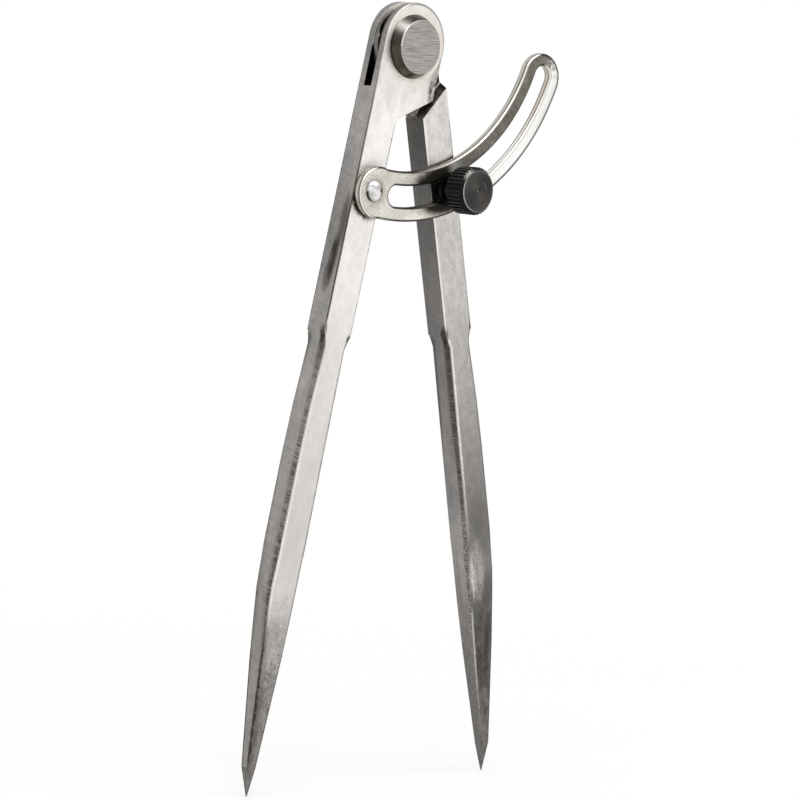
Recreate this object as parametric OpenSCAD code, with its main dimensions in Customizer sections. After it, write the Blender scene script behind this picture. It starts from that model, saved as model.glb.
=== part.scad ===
// Compass divider with a slotted locking wing and a knurled thumb screw.
// Drawn upright with the points down, the legs at the opening of the photograph.
// Origin on the pivot axis at the middle of the bar; X to the right, Y to the back, Z up. Millimetres.

/* [Legs] */
// Pivot axis to the points
leg_len = 188; // [170:1:240]
// Thickness of the flat bar
bar_t = 6.4; // [5.6:0.1:8]
// Width of the flat bar
bar_w = 9.1; // [7.6:0.1:11]
// Half of the angle between the legs as drawn
half_open = 12.33; // [6:0.01:30]
// Inner edge of a bar to the split plane
edge_gap = 0.6; // [0.3:0.05:1]
// Pivot axis to the neck
neck_s = 75.2; // [62:0.2:88]
// Depth of the neck on the outer edge
neck_out = 0.6; // [0.2:0.05:1.2]
// Depth of the neck on the inner edge
neck_in = 0.5; // [0.2:0.05:0.8]
// Radius of the neck's hollows
neck_r = 3; // [1.5:0.1:6]
// Neck to the widest place of the lower leg
swell_len = 28; // [16:1:44]
// Swell of the outer edge below the neck
belly = 0.35; // [0.05:0.05:0.9]
// Half the length of the bend into the taper
belly_len = 6; // [3:0.5:10]
// Length of the tapered end, point included
taper_len = 57; // [42:1:72]
// Chamfer on the corners of the lower leg
corner_cut = 0.86; // [0.3:0.02:1.3]
// Half the length in which the chamfer starts
cut_start = 1.6; // [0.8:0.1:4]
// Length in which the chamfer runs out on the taper
cut_end = 19; // [12:1:30]
// Length of the ground point
point_len = 7; // [4:0.5:14]
// Width of the leg where the point starts
point_w = 2.75; // [1.5:0.05:4]
// Thickness of the leg where the point starts
point_t = 2.1; // [1.2:0.1:3.4]
// Width left on the very tip
tip_flat = 0.2; // [0.1:0.05:0.6]
// Tip to the split plane
tip_gap = 0.15; // [0.1:0.05:0.4]

/* [Head joint] */
// Head centre above the pivot
head_up = 0.9; // [0:0.1:1.6]
// Head centre beside the pivot, away from the fork leg
head_side = 0.3; // [0:0.1:0.8]
// Thickness of one fork cheek
cheek_t = 2; // [1.5:0.05:2.4]
// Fork's nose past the outer edge of the other leg
nose_over = 0.5; // [0.1:0.1:1.2]
// Rim of the fork's head past the tongue
tongue_step = 0.3; // [0.1:0.05:1]
// Play on each face of the tongue
tongue_play = 0.05; // [0.02:0.01:0.12]
// Rim of the fork's head to the slanted shoulder
shoulder_off = 5.5; // [4.2:0.1:10]
// Slant of the shoulder
shoulder_a = 34; // [30:1:42]
// Undercut of the shoulder from the face to the tongue
shoulder_cut = 1.2; // [0.3:0.1:2]
// Gap between nose and shoulder when closed
nest_gap = 0.4; // [0.2:0.05:0.8]
// Radius in the corner of the nose
nose_r = 2.5; // [1:0.1:4]
// Length of the worn hollow on the tongue's rim
rim_len = 8.4; // [4:0.2:12]
// Depth of the worn hollow into the tongue's face
rim_cut = 0.7; // [0.2:0.1:1.2]
// Depth of the worn hollow into the tongue's rim
rim_in = 0.9; // [0.3:0.1:1.8]
// Direction of the worn hollow from the right
rim_a = 152; // [130:1:170]

/* [Friction washers] */
// Thickness of a friction washer
shim_t = 0.2; // [0.1:0.05:0.4]
// Radius of a friction washer
shim_r = 8; // [4:0.5:9]

/* [Pivot rivet] */
// Diameter of the rivet
rivet_d = 5; // [4:0.1:6.5]
// Radius of the rivet head at its base
rivet_base_r = 7.95; // [6.8:0.05:9]
// Radius of the rivet head's flat face
rivet_face_r = 6.6; // [4.5:0.05:7.6]
// Height of the rivet head
rivet_h = 2.6; // [1.4:0.1:4]
// Width and depth of a closed rivet end
close_w = 1.2; // [0.6:0.1:1.8]

/* [Wing] */
// Pivot axis to the wing's rivet, along the fork leg
wing_rivet_s = 37.4; // [32:0.1:44]
// Radius of the slot's middle line
wing_r = 48.7; // [40:0.1:60]
// Turn of the wing about its rivet, within the slot's play
wing_turn = 0.3; // [0:0.05:0.4]
// Thickness of the strip
wing_t = 2.3; // [1.5:0.1:3.5]
// Width of the strip
wing_w = 12.4; // [10.5:0.1:15]
// Room in the slot on each side of the screw
slot_play = 0.9; // [0.75:0.05:1.3]
// Rivet to the slot's near end, angle about the arc's centre
slot_near = 9; // [6.5:0.1:11]
// Rivet to the slot's far end, angle about the arc's centre
slot_far = 81; // [60:0.1:95]
// Edge of the eye past the strip's edge
eye_over = 0.2; // [0.05:0.05:1.2]
// Eye centre past its rivet, angle about the arc's centre
eye_shift = 2; // [0:0.1:4]
// Gap on each face of the wing
wing_gap = 0.08; // [0.03:0.01:0.2]
// Diameter of the wing's rivet
wing_rivet_d = 3.2; // [2.4:0.1:4.2]
// Diameter of the wing rivet's round head
dome_d = 5.3; // [4.4:0.1:7]
// Height of the wing rivet's round head
dome_h = 1.3; // [0.8:0.1:2]

/* [Thumb screw] */
// Pivot axis to the screw, along the tongue leg
screw_s = 36.6; // [32:0.1:44]
// Diameter of the threaded stem
stem_d = 3.4; // [2.8:0.1:4.2]
// Stem's end short of the leg's back
stem_short = 0.4; // [0.1:0.1:2]
// Diameter of the clamping washer
washer_d = 8.2; // [7:0.1:11]
// Thickness of the clamping washer
washer_t = 0.9; // [0.5:0.1:2]
// Diameter of the collar
collar_d = 7.2; // [6:0.1:9]
// Length of the collar
collar_l = 3; // [1.5:0.1:6]
// Diameter of the knob
knob_d = 11.9; // [9.5:0.1:16]
// Length of the knob
knob_l = 5.9; // [4:0.1:9]
// Chamfer on the knob's face
knob_cut = 0.9; // [0.3:0.05:1.8]
// Chamfer on the knob's back
knob_back = 0.4; // [0.1:0.05:1]
// Number of knurl grooves
knurl_n = 36; // [20:1:44]
// Depth of a knurl groove
knurl_h = 0.35; // [0.15:0.05:0.6]
// Width of a knurl groove
knurl_w = 0.5; // [0.25:0.05:0.65]
// Depth of the centre mark in the knob's face
dot_h = 0.3; // [0.1:0.1:0.8]

/* [Fits] */
// Radial clearance of a turning fit
turn_fit = 0.05; // [0.02:0.01:0.1]
// Radial clearance of a fixed pin
pin_fit = 0.02; // [0.01:0.01:0.04]

/* [Hidden] */
$fn = 96;
// reach of a cut past everything, and the lap of pieces that are joined or cut
far = leg_len / 3;
lap = bar_t / 12;
half_t = bar_t / 2;
edge_in = edge_gap;
edge_out = edge_gap + bar_w;
bar_mid = edge_gap + bar_w / 2;
// the head runs into the outer edge of its bar
head_r = edge_out + head_side;
tongue_r = head_r - tongue_step;
nose_w = edge_out + nose_over;
shoulder_d = head_r + shoulder_off;
slot_t = bar_t - 2 * cheek_t;
tongue_t = slot_t - 2 * shim_t - 2 * tongue_play;
nose_d = shoulder_d - nest_gap;
// slope of the undercut from the face to the tongue
under_rise = shoulder_cut / (half_t - tongue_t / 2);
belly_s = leg_len - taper_len;
point_s = leg_len - point_len;
thin_s = belly_s - belly_len * 2 / 3;
swell_s = neck_s + swell_len;
// front outline of the lower leg: distance from the pivot, distance from the split plane
OUTER = [
    [neck_s, edge_out - neck_out],
    [neck_s + swell_len * 0.3, edge_out - neck_out / 3],
    [neck_s + swell_len * 0.6, edge_out + belly / 2],
    [swell_s, edge_out + belly],
    [belly_s - belly_len, edge_out + belly / 2],
    [belly_s + belly_len / 6, edge_out - belly / 6],
    [belly_s + belly_len, edge_out - belly],
    [point_s, tip_gap + point_w],
    [leg_len, tip_gap + tip_flat]
];
INNER = [
    [neck_s, edge_in + neck_in],
    [belly_s, tip_gap],
    [leg_len, tip_gap]
];
// half the thickness along the leg
THICK = [
    [0, half_t],
    [thin_s, half_t],
    [point_s, point_t / 2],
    [leg_len, tip_flat / 2]
];
// chamfer along the leg
CUT = [
    [neck_s - cut_start, -corner_cut / 8],
    [neck_s + cut_start, corner_cut],
    [belly_s, corner_cut],
    [belly_s + cut_end, 0],
    [point_s, -corner_cut / 2]
];
CUT_S = [
    neck_s - cut_start,
    neck_s,
    neck_s + cut_start,
    neck_s + swell_len * 0.3,
    neck_s + swell_len * 0.6,
    swell_s,
    belly_s - belly_len,
    thin_s,
    belly_s,
    belly_s + belly_len / 6,
    belly_s + belly_len,
    belly_s + (belly_len + cut_end) / 2,
    belly_s + cut_end,
    point_s
];
// corner of the leg's section along a diagonal, less the chamfer
function diag_out(s) = (lookup(max(s, neck_s), OUTER) + lookup(s, THICK) - lookup(s, CUT)) / sqrt(2);
function diag_in(s) = (lookup(max(s, neck_s), INNER) - lookup(s, THICK) + lookup(s, CUT)) / sqrt(2);
// the nose line and the shoulder line, as distance along the leg at a distance from the split plane
function nose_at(w) = (nose_d - sin(shoulder_a) * w) / cos(shoulder_a);
function shoulder_at(w) = (shoulder_d - sin(shoulder_a) * w) / cos(shoulder_a);
function turned(v, a) = [v[0] * cos(a) - v[1] * sin(a), v[0] * sin(a) + v[1] * cos(a)];
slot_w = stem_d + 2 * slot_play;
eye_r = wing_w / 2 + eye_over;
// round ends stand past the edges that they close, so that they cross them
end_over = bar_t / 320;
// places on the front view
wing_pin = turned([-bar_mid, -wing_rivet_s], -half_open);
screw_at = turned([bar_mid, -screw_s], half_open);
chord = screw_at - wing_pin;
chord_l = norm(chord);
chord_n = [-chord[1], chord[0]] / chord_l;
arc_at = wing_pin + turned(chord / 2 + chord_n * sqrt(wing_r * wing_r - chord_l * chord_l / 4), wing_turn);
pin_a = atan2(wing_pin[1] - arc_at[1], wing_pin[0] - arc_at[0]);
// levels in front of the bar's middle
wing_z = half_t + wing_gap;
washer_z = wing_z + wing_t + wing_gap;
collar_z = washer_z + washer_t;
knob_z = collar_z + collar_l;
face_z = knob_z + knob_l;

// the front view lies in X and Y here and its front is +Z; the whole is stood up at the end
module stand() {
    rotate([90, 0, 0]) children();
}

module leg_at_rest(side) {
    rotate(side * half_open) mirror([side < 0 ? 1 : 0, 0, 0]) children();
}

module rod(r, z0, z1) {
    translate([0, 0, z0]) cylinder(r = r, h = z1 - z0);
}

// bar seen from the front: neck to head, with the nose across the split plane
module upper_bar(side_w) {
    linear_extrude(height = bar_t, center = true) polygon([
        [edge_out, 0],
        [-side_w, 0],
        [-side_w, -nose_at(side_w)],
        [edge_in, -nose_at(-edge_in)],
        [edge_in, -neck_s],
        [edge_out, -neck_s]
    ]);
}

// below the neck
module lower_bar() {
    linear_extrude(height = bar_t, center = true) polygon(concat(
        [for (p = OUTER) [p[1], -p[0]]],
        [for (i = [len(INNER) - 1 : -1 : 0]) [INNER[i][1], -INNER[i][0]]]
    ));
}

// round hollows of the neck on both edges
module neck_hollows() {
    translate([edge_out - neck_out + neck_r, -neck_s, 0]) rod(neck_r, -bar_t, bar_t);
    translate([edge_in + neck_in - neck_r, -neck_s, 0]) rod(neck_r, -bar_t, bar_t);
}

// leaves the taper in thickness
module side_form() {
    rotate([0, -90, 0]) linear_extrude(height = far, center = true) polygon(concat(
        [[half_t, far]],
        [for (p = THICK) [p[1], -p[0]]],
        [for (i = [len(THICK) - 1 : -1 : 0]) [-THICK[i][1], -THICK[i][0]]],
        [[-half_t, far]]
    ));
}

// leaves the chamfered corners of the lower leg
module corner_form() {
    linear_extrude(height = 3 * far, center = true) polygon(concat(
        [[far, far], [far, -CUT_S[0]]],
        [for (s = CUT_S) [diag_out(s), -s]],
        [[diag_out(point_s), -leg_len - lap], [diag_in(point_s), -leg_len - lap]],
        [for (i = [len(CUT_S) - 1 : -1 : 0]) [diag_in(CUT_S[i]), -CUT_S[i]]],
        [[-far, -CUT_S[0]], [-far, far]]
    ));
}

// one bar, cut to its taper and chamfers, with the head that it is given
module leg_body(side_w) {
    intersection() {
        union() {
            difference() {
                upper_bar(side_w);
                neck_hollows();
            }
            lower_bar();
            children();
        }
        side_form();
        rotate([0, 45, 0]) corner_form();
        rotate([0, -45, 0]) corner_form();
    }
}

// round corner between the nose and the inner edge
module nose_fillet() {
    nose_c = [edge_in - nose_r, -(nose_d + nose_r - sin(shoulder_a) * (nose_r - edge_in)) / cos(shoulder_a)];
    difference() {
        linear_extrude(height = bar_t, center = true) polygon([
            [edge_in + lap, -nose_at(-edge_in) + lap],
            [nose_c[0] + nose_r * sin(shoulder_a), nose_c[1] + nose_r * cos(shoulder_a)],
            nose_c,
            [edge_in, nose_c[1]],
            [edge_in + lap, nose_c[1]]
        ]);
        translate([nose_c[0], nose_c[1], 0]) rod(nose_r, -bar_t, bar_t);
    }
}

// the slot between the cheeks, down to its slanted floor
module fork_slot() {
    linear_extrude(height = slot_t, center = true) polygon([
        [-far, -shoulder_at(-far)],
        [far, -shoulder_at(far)],
        [far, far],
        [-far, far]
    ]);
}

// what the undercut takes off the fork's nose on its inner face
module nose_undercut() {
    intersection() {
        rotate(-shoulder_a) rotate([0, -90, 0]) linear_extrude(height = 2 * far, center = true) polygon([
            [0, -nose_d + shoulder_cut + under_rise * tongue_t / 2],
            [half_t + lap, -nose_d - under_rise * lap],
            [0, -nose_d - under_rise * lap]
        ]);
        translate([-far, -far, 0]) cube([far - edge_in / 2, 2 * far, far]);
    }
}

// hole for a rivet whose end is closed into a countersink at the back
module rivet_hole(d, fit) {
    rod(d / 2 + fit, -bar_t, bar_t);
    translate([0, 0, -half_t]) cylinder(r1 = d / 2 + close_w + fit, r2 = d / 2 + fit, h = close_w);
}

module fork_leg() {
    color("silver") stand() leg_at_rest(-1) difference() {
        leg_body(nose_w) {
            translate([-head_side, head_up, 0]) rod(head_r, -half_t, half_t);
            nose_fillet();
        }
        fork_slot();
        nose_undercut();
        mirror([0, 0, 1]) nose_undercut();
        rivet_hole(rivet_d, pin_fit);
        translate([bar_mid, -wing_rivet_s, 0]) rivet_hole(wing_rivet_d, pin_fit);
    }
}

// leaves only the tongue on one face, above the undercut shoulder and inside the inner edge
module tongue_face() {
    rotate(shoulder_a) rotate([0, -90, 0]) linear_extrude(height = 2 * far, center = true) polygon([
        [tongue_t / 2, -shoulder_d + shoulder_cut],
        [half_t + lap, -shoulder_d - under_rise * lap],
        [half_t + lap, far],
        [tongue_t / 2, far]
    ]);
    translate([0, 0, tongue_t / 2]) linear_extrude(height = half_t) polygon([
        [edge_in, -shoulder_at(edge_in) + shoulder_cut],
        [edge_in, -2 * shoulder_d],
        [-far, -2 * shoulder_d],
        [-far, 0],
        [0, 0]
    ]);
}

// worn hollow on the front of the tongue's rim, up and to the left
module rim_hollow() {
    rotate(rim_a - half_open) translate([tongue_r, 0, tongue_t / 2 - rim_cut]) linear_extrude(height = bar_t) polygon([
        [rim_in, -rim_len / 2],
        [-rim_in / 5, -rim_len / 2],
        [-rim_in, 0],
        [-rim_in / 5, rim_len / 2],
        [rim_in, rim_len / 2]
    ]);
}

module tongue_leg() {
    color("lightgray") stand() leg_at_rest(1) difference() {
        leg_body(tongue_r) rod(tongue_r, -half_t, half_t);
        tongue_face();
        mirror([0, 0, 1]) tongue_face();
        rod(rivet_d / 2 + turn_fit, -bar_t, bar_t);
        translate([bar_mid, -screw_s, 0]) rod(stem_d / 2 + turn_fit, -bar_t, bar_t);
        rim_hollow();
    }
}

// end of a rivet, closed flush into its countersink
module closed_end(d) {
    translate([0, 0, -half_t]) cylinder(r1 = d / 2 + close_w, r2 = d / 2, h = close_w);
}

module pivot_rivet() {
    color("dimgray") stand() {
        rod(rivet_d / 2, -half_t, half_t + lap);
        translate([0, 0, half_t]) cylinder(r1 = rivet_base_r, r2 = rivet_face_r, h = rivet_h);
        closed_end(rivet_d);
    }
}

module shim_ring(z0) {
    difference() {
        rod(shim_r, z0, z0 + shim_t);
        rod(rivet_d / 2 + turn_fit, z0 - lap, z0 + shim_t + lap);
    }
}

module front_shim() {
    color("goldenrod") stand() shim_ring(slot_t / 2 - shim_t);
}

module rear_shim() {
    color("goldenrod") stand() shim_ring(-slot_t / 2);
}

// part of the plane between two directions
module sector(a0, a1) {
    am = (a0 + a1) / 2;
    polygon([
        [0, 0],
        2 * wing_r * [cos(a0), sin(a0)],
        2 * wing_r * [cos(am), sin(am)],
        2 * wing_r * [cos(a1), sin(a1)]
    ]);
}

// piece of a ring along the wing's arc
module arc_band(w, a0, a1) {
    intersection() {
        difference() {
            circle(r = wing_r + w / 2);
            circle(r = wing_r - w / 2);
        }
        sector(a0, a1);
    }
}

// disc on the wing's arc
module arc_disc(r, a) {
    rotate(a) translate([wing_r, 0]) circle(r = r);
}

module wing() {
    eye_a = pin_a + eye_shift;
    near_a = pin_a + slot_near;
    far_a = pin_a + slot_far;
    color("gainsboro") stand() translate([arc_at[0], arc_at[1], wing_z]) linear_extrude(height = wing_t) difference() {
        union() {
            arc_band(wing_w, eye_a, far_a);
            arc_disc(eye_r, eye_a);
            arc_disc(wing_w / 2 + end_over, far_a);
        }
        arc_band(slot_w, near_a, far_a);
        arc_disc(slot_w / 2 + end_over, near_a);
        arc_disc(slot_w / 2 + end_over, far_a);
        arc_disc(wing_rivet_d / 2 + turn_fit, pin_a);
    }
}

module wing_rivet() {
    dome_r = (dome_d * dome_d / 4 + dome_h * dome_h) / (2 * dome_h);
    dome_z = wing_z + wing_t + wing_gap;
    color("whitesmoke") stand() translate([wing_pin[0], wing_pin[1], 0]) {
        rod(wing_rivet_d / 2, -half_t, dome_z + lap);
        intersection() {
            translate([0, 0, dome_z + dome_h - dome_r]) sphere(r = dome_r);
            rod(dome_d, dome_z, dome_z + 2 * dome_h);
        }
        closed_end(wing_rivet_d);
    }
}

module clamp_washer() {
    color("darkgray") stand() translate([screw_at[0], screw_at[1], 0]) difference() {
        rod(washer_d / 2, washer_z, collar_z);
        rod(stem_d / 2 + turn_fit, washer_z - lap, collar_z + lap);
    }
}

module thumb_screw() {
    knob_r = knob_d / 2;
    color("black") stand() translate([screw_at[0], screw_at[1], 0]) {
        rod(stem_d / 2, stem_short - half_t, collar_z + lap);
        rod(collar_d / 2, collar_z, knob_z + lap);
        difference() {
            rotate_extrude() polygon([
                [0, knob_z],
                [knob_r - knob_back, knob_z],
                [knob_r, knob_z + knob_back],
                [knob_r, face_z - knob_cut],
                [knob_r - knob_cut, face_z],
                [0, face_z]
            ]);
            for (i = [0 : knurl_n - 1])
                rotate(i * 360 / knurl_n) translate([knob_r - knurl_h, -knurl_w / 2, knob_z - lap])
                    cube([2 * knurl_h, knurl_w, knob_l + 2 * lap]);
            translate([0, 0, face_z - dot_h]) cylinder(r1 = dot_h / 3, r2 = dot_h * 7 / 3, h = 2 * dot_h);
        }
    }
}

fork_leg();
tongue_leg();
pivot_rivet();
front_shim();
rear_shim();
wing();
wing_rivet();
clamp_washer();
thumb_screw();
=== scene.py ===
# %% [markdown]
# # Dressing a compass divider
# The divider is a marking-out tool: two pointed steel legs on a riveted head,
# a slotted bright wing that keeps them apart, and a black thumb screw that
# locks the wing. The exact solids come from the CAD frame, so this lesson only
# adds what the eye needs: soft edges, knurls, a thread and metal whose colours
# carry painted light and shade.
# Everything is in metres in the CAD's own frame. X points right, Y to the
# back and Z up, and the origin is the middle of the head's pivot.

# %% Load the frame
import math
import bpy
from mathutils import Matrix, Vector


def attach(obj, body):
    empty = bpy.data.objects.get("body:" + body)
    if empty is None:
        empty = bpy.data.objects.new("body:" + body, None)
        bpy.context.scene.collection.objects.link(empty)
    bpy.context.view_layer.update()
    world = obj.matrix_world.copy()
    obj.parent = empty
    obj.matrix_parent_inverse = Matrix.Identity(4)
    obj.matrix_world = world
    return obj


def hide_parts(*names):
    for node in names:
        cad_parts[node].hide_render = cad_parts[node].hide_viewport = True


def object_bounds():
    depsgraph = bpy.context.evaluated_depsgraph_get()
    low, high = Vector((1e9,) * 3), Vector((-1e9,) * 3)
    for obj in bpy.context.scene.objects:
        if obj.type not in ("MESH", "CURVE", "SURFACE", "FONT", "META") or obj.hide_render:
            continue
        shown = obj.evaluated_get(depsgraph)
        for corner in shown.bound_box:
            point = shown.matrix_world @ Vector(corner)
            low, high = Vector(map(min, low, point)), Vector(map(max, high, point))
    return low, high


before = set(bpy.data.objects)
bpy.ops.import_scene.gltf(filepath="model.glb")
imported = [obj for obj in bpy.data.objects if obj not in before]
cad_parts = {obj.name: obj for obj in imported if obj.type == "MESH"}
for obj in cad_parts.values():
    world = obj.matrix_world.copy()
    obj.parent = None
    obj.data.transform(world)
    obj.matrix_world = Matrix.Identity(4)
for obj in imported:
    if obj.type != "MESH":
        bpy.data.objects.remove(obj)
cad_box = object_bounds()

from types import SimpleNamespace
from math import asin, atan2, cos, hypot, pi, radians, sin, tau
import bpy
import bmesh
from mathutils import Matrix, Vector

MM = 0.001

# %% [markdown]
# ## Sizes that the pieces share
# A maker reads the same drawing for every piece. These are the drawing's
# sizes in millimetres. "Front" counts millimetres towards the viewer from the
# middle of the bars, so a front of 3.2 is the face of the legs.

# %% The drawing
HALF_OPEN = radians(12.33)           # each leg leans this far from upright
BAR_HALF = 3.2                       # half the bars' thickness
LEG_LENGTH = 188
NECK = 75.2                          # along the leg, where the bar is hollowed
PIN = (-13.0177, -35.4376)           # wing rivet, X and Z
SCREW = (12.8468, -34.656)           # thumb screw's axis, X and Z
ARC_CENTRE = (-1.751, 11.941)        # the wing is bent round this point
ARC_RADIUS = 48.7
WING_WIDTH = 12.4
WING_BACK, WING_FRONT = 3.28, 5.58
WELD_GAP = 2e-6                      # metres: corners closer than this are one


def leg_axes(side):
    """Unit arrows along a leg to its point, and across it to its outer edge."""
    lean, rise = sin(HALF_OPEN), cos(HALF_OPEN)
    return Vector((side * lean, 0, -rise)), Vector((side * rise, 0, lean))


FORK_ALONG, FORK_ACROSS = leg_axes(-1)
TONGUE_ALONG, TONGUE_ACROSS = leg_axes(1)
pin_angle = atan2(PIN[1] - ARC_CENTRE[1], PIN[0] - ARC_CENTRE[0])
EYE_TURN, FAR_TURN = 2, 81           # degrees past the rivet: the eye's middle, the far end's


def past_pin(degrees):
    return pin_angle + radians(degrees)


def on_arc(degrees):
    """A point on the wing's middle line, so many degrees past its rivet."""
    turn = past_pin(degrees)
    return (ARC_CENTRE[0] + ARC_RADIUS * cos(turn), ARC_CENTRE[1] + ARC_RADIUS * sin(turn))


EYE, FAR_END = on_arc(EYE_TURN), on_arc(FAR_TURN)
print("wing rivet at", round(math.degrees(pin_angle), 2), "deg on the arc")

# %% [markdown]
# ## Node trees written as sums
# Both materials and Geometry Nodes are trees of small nodes. Placing them one
# by one hides the idea, so a socket is wrapped in a small class: adding or
# multiplying two wires adds the Math node that does it. Every other node comes
# from `Bench.node`, which takes the node's type, its settings and its sockets.

# %% Wires and the bench
def operator(operation, swapped=False):
    def reckon(wire, other):
        first, second = (other, wire) if swapped else (wire, other)
        return wire.bench.node("ShaderNodeMath", {"operation": operation}, {0: first, 1: second})
    return reckon


class Wire:
    def __init__(self, bench, socket):
        self.bench, self.socket = bench, socket

    def do(self, operation, other=0):
        """Any other Math node, such as a square root."""
        return operator(operation)(self, other)

    __add__ = __radd__ = operator("ADD")
    __mul__ = __rmul__ = operator("MULTIPLY")
    __sub__, __rsub__ = operator("SUBTRACT"), operator("SUBTRACT", True)
    __truediv__, __rtruediv__ = operator("DIVIDE"), operator("DIVIDE", True)


class Bench:
    def __init__(self, tree, owner=None):
        self.tree, self.owner = tree, owner
        tree.nodes.clear()

    def node(self, kind, settings=None, sockets=None, out=0, **named):
        """Sockets go by number in a dictionary, or by name with _ for a blank."""
        made = self.tree.nodes.new(kind)
        wanted = {name.replace("_", " "): value for name, value in named.items()}
        for name, value in (settings or {}).items():
            if name == "stops":
                self.set_stops(made.color_ramp.elements, value)
            else:
                setattr(made, name, value)
        for name, value in {**(sockets or {}), **wanted}.items():
            for part in value if isinstance(value, list) else [value]:
                if isinstance(part, Wire):
                    self.tree.links.new(part.socket, made.inputs[name])
                else:
                    made.inputs[name].default_value = part
        return Wire(self, made.outputs[out]) if made.outputs else made

    def set_stops(self, elements, stops):
        while len(elements) < len(stops):
            elements.new(1)
        for element, (place, colour) in zip(elements, stops):
            element.position = place
            element.color = (*colour, 1)


print("bench ready")

# %% [markdown]
# ## The camera
# The photograph was taken from the left, level with the head, with a long
# lens. The numbers below were fitted to the outline: turn and tilt of the
# view, a roll of three degrees, the distance, the lens, and the pixel in the
# 800 x 800 picture on which the pivot falls.

# %% Camera
TURN, TILT, ROLL = 0.76771882, 0.0144031191, 0.052348177
DISTANCE = 1145.04 * MM
FOCAL_PIXELS, PICTURE, SENSOR = 4640.73136, 800, 36
PIVOT_PIXEL = (404.776715, 46.1389658)


def columns(*axes):
    return Matrix(axes).transposed()


def camera_matrix():
    look = Vector((sin(TURN) * cos(TILT), cos(TURN) * cos(TILT), -sin(TILT)))
    right = Vector((cos(TURN), -sin(TURN), 0))
    up = right.cross(look)
    rolled_right = cos(ROLL) * right + sin(ROLL) * up
    rolled_up = cos(ROLL) * up - sin(ROLL) * right
    ray = Vector(((PIVOT_PIXEL[0] - PICTURE / 2) / FOCAL_PIXELS,
                  (PICTURE / 2 - PIVOT_PIXEL[1]) / FOCAL_PIXELS, 1)).normalized()
    side = Vector((0, 1, 0)).cross(ray).normalized()
    over = ray.cross(side)
    turn = columns(rolled_right, rolled_up, look) @ columns(side, over, ray).transposed()
    axes = turn.transposed()
    matrix = columns(axes[0], axes[1], -axes[2]).to_4x4()
    matrix.translation = -DISTANCE * look
    return matrix


camera = bpy.data.objects.new("camera", bpy.data.cameras.new("camera"))
camera.data.lens = FOCAL_PIXELS * SENSOR / PICTURE
camera.data.sensor_width = SENSOR
camera.data.clip_start, camera.data.clip_end = 0.01, 50
camera.matrix_world = camera_matrix()
bpy.context.collection.objects.link(camera)
bpy.context.scene.camera = camera
print("camera at", [round(v, 4) for v in camera.matrix_world.translation],
      "lens", round(camera.data.lens, 1))

# %% [markdown]
# ## Floor, world and lamps
# The tool stands in a white studio. Camera, gloss and glass rays see the world
# as plain white; the light that falls on the object is softer, so that a
# colour renders about as it is written. The floor is matt and pale near the
# points, where it keeps their shadow, and fades into the white further out.

# %% Floor and world
FLOOR_HALF = 4
FLOOR_DROP = 0.0001                  # keeps the points just clear of the floor
WHITE, FILL_LIGHT = (1, 1, 1, 1), 0.8
scene = bpy.context.scene
scene.view_settings.view_transform = "Standard"


def new_mesh_object(name, mesh):
    piece = bpy.data.objects.new(name, mesh)
    bpy.context.collection.objects.link(piece)
    return piece


def new_finish(name):
    material = bpy.data.materials.new(name)
    material.use_nodes = True
    return Bench(material.node_tree, material)


def fade(value, low, high):
    """Rises smoothly from 0 to 1 while the value goes from low to high."""
    return value.bench.node(
        "ShaderNodeMapRange", {"interpolation_type": "SMOOTHSTEP", "clamp": True},
        Value=value, From_Min=low, From_Max=high)


def fall(value, low, high):
    return 1 - fade(value, low, high)


def sees_background(bench):
    rays = [bench.node("ShaderNodeLightPath", out=kind) for kind in
            ("Is Camera Ray", "Is Glossy Ray", "Is Transmission Ray")]
    return fade(rays[0] + rays[1] + rays[2], 0, 1)


def white_world():
    world = bpy.data.worlds.new("white_studio")
    world.use_nodes = True
    scene.world = world
    bench = Bench(world.node_tree)
    seen, fill = (bench.node("ShaderNodeBackground", Color=WHITE, Strength=strength)
                  for strength in (1, FILL_LIGHT))
    mixed = bench.node("ShaderNodeMixShader", {}, {0: sees_background(bench), 1: fill, 2: seen})
    bench.node("ShaderNodeOutputWorld", Surface=mixed)


def pale_floor(low_z):
    mesh = bpy.data.meshes.new("floor")
    corners = [(x * FLOOR_HALF, y * FLOOR_HALF, low_z)
               for x, y in ((-1, -1), (1, -1), (1, 1), (-1, 1))]
    mesh.from_pydata(corners, [], [(0, 1, 2, 3)])
    floor = new_mesh_object("floor", mesh)
    bench = new_finish("floor_paper")
    place = bench.node("ShaderNodeTexCoord", out="Object")
    flat = bench.node("ShaderNodeVectorMath", {"operation": "MULTIPLY"}, {0: place, 1: (1, 1, 0)})
    away = bench.node("ShaderNodeVectorMath", {"operation": "LENGTH"}, {0: flat}, out="Value")
    paper = bench.node("ShaderNodeBsdfDiffuse", Color=(0.94, 0.94, 0.94, 1))
    glow = bench.node("ShaderNodeEmission", Color=WHITE, Strength=1)
    white = sees_background(bench) * (0.6 + 0.4 * fade(away, 0.08, 0.35))
    mixed = bench.node("ShaderNodeMixShader", {}, {0: white, 1: paper, 2: glow})
    bench.node("ShaderNodeOutputMaterial", Surface=mixed)
    mesh.materials.append(bench.owner)


white_world()
pale_floor(cad_box[0][2] - FLOOR_DROP)
print("floor at", round(cad_box[0][2], 5))

# %% [markdown]
# Lamps are large soft squares: one overhead that adds to the painted bright
# lines on the rivet's cone and the knob's rim, and one at the front right for the faces.

# %% Lamps
AIM = Vector((0, 0, -0.08))


def soft_lamp(name, place, size, watts):
    light = bpy.data.lights.new(name, "AREA")
    light.shape, light.size, light.energy = "SQUARE", size, watts
    lamp = bpy.data.objects.new(name, light)
    lamp.location = place
    lamp.rotation_euler = (AIM - Vector(place)).to_track_quat("-Z", "Y").to_euler()
    bpy.context.collection.objects.link(lamp)
    print(name, watts, "W, square of", size, "m")


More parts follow.
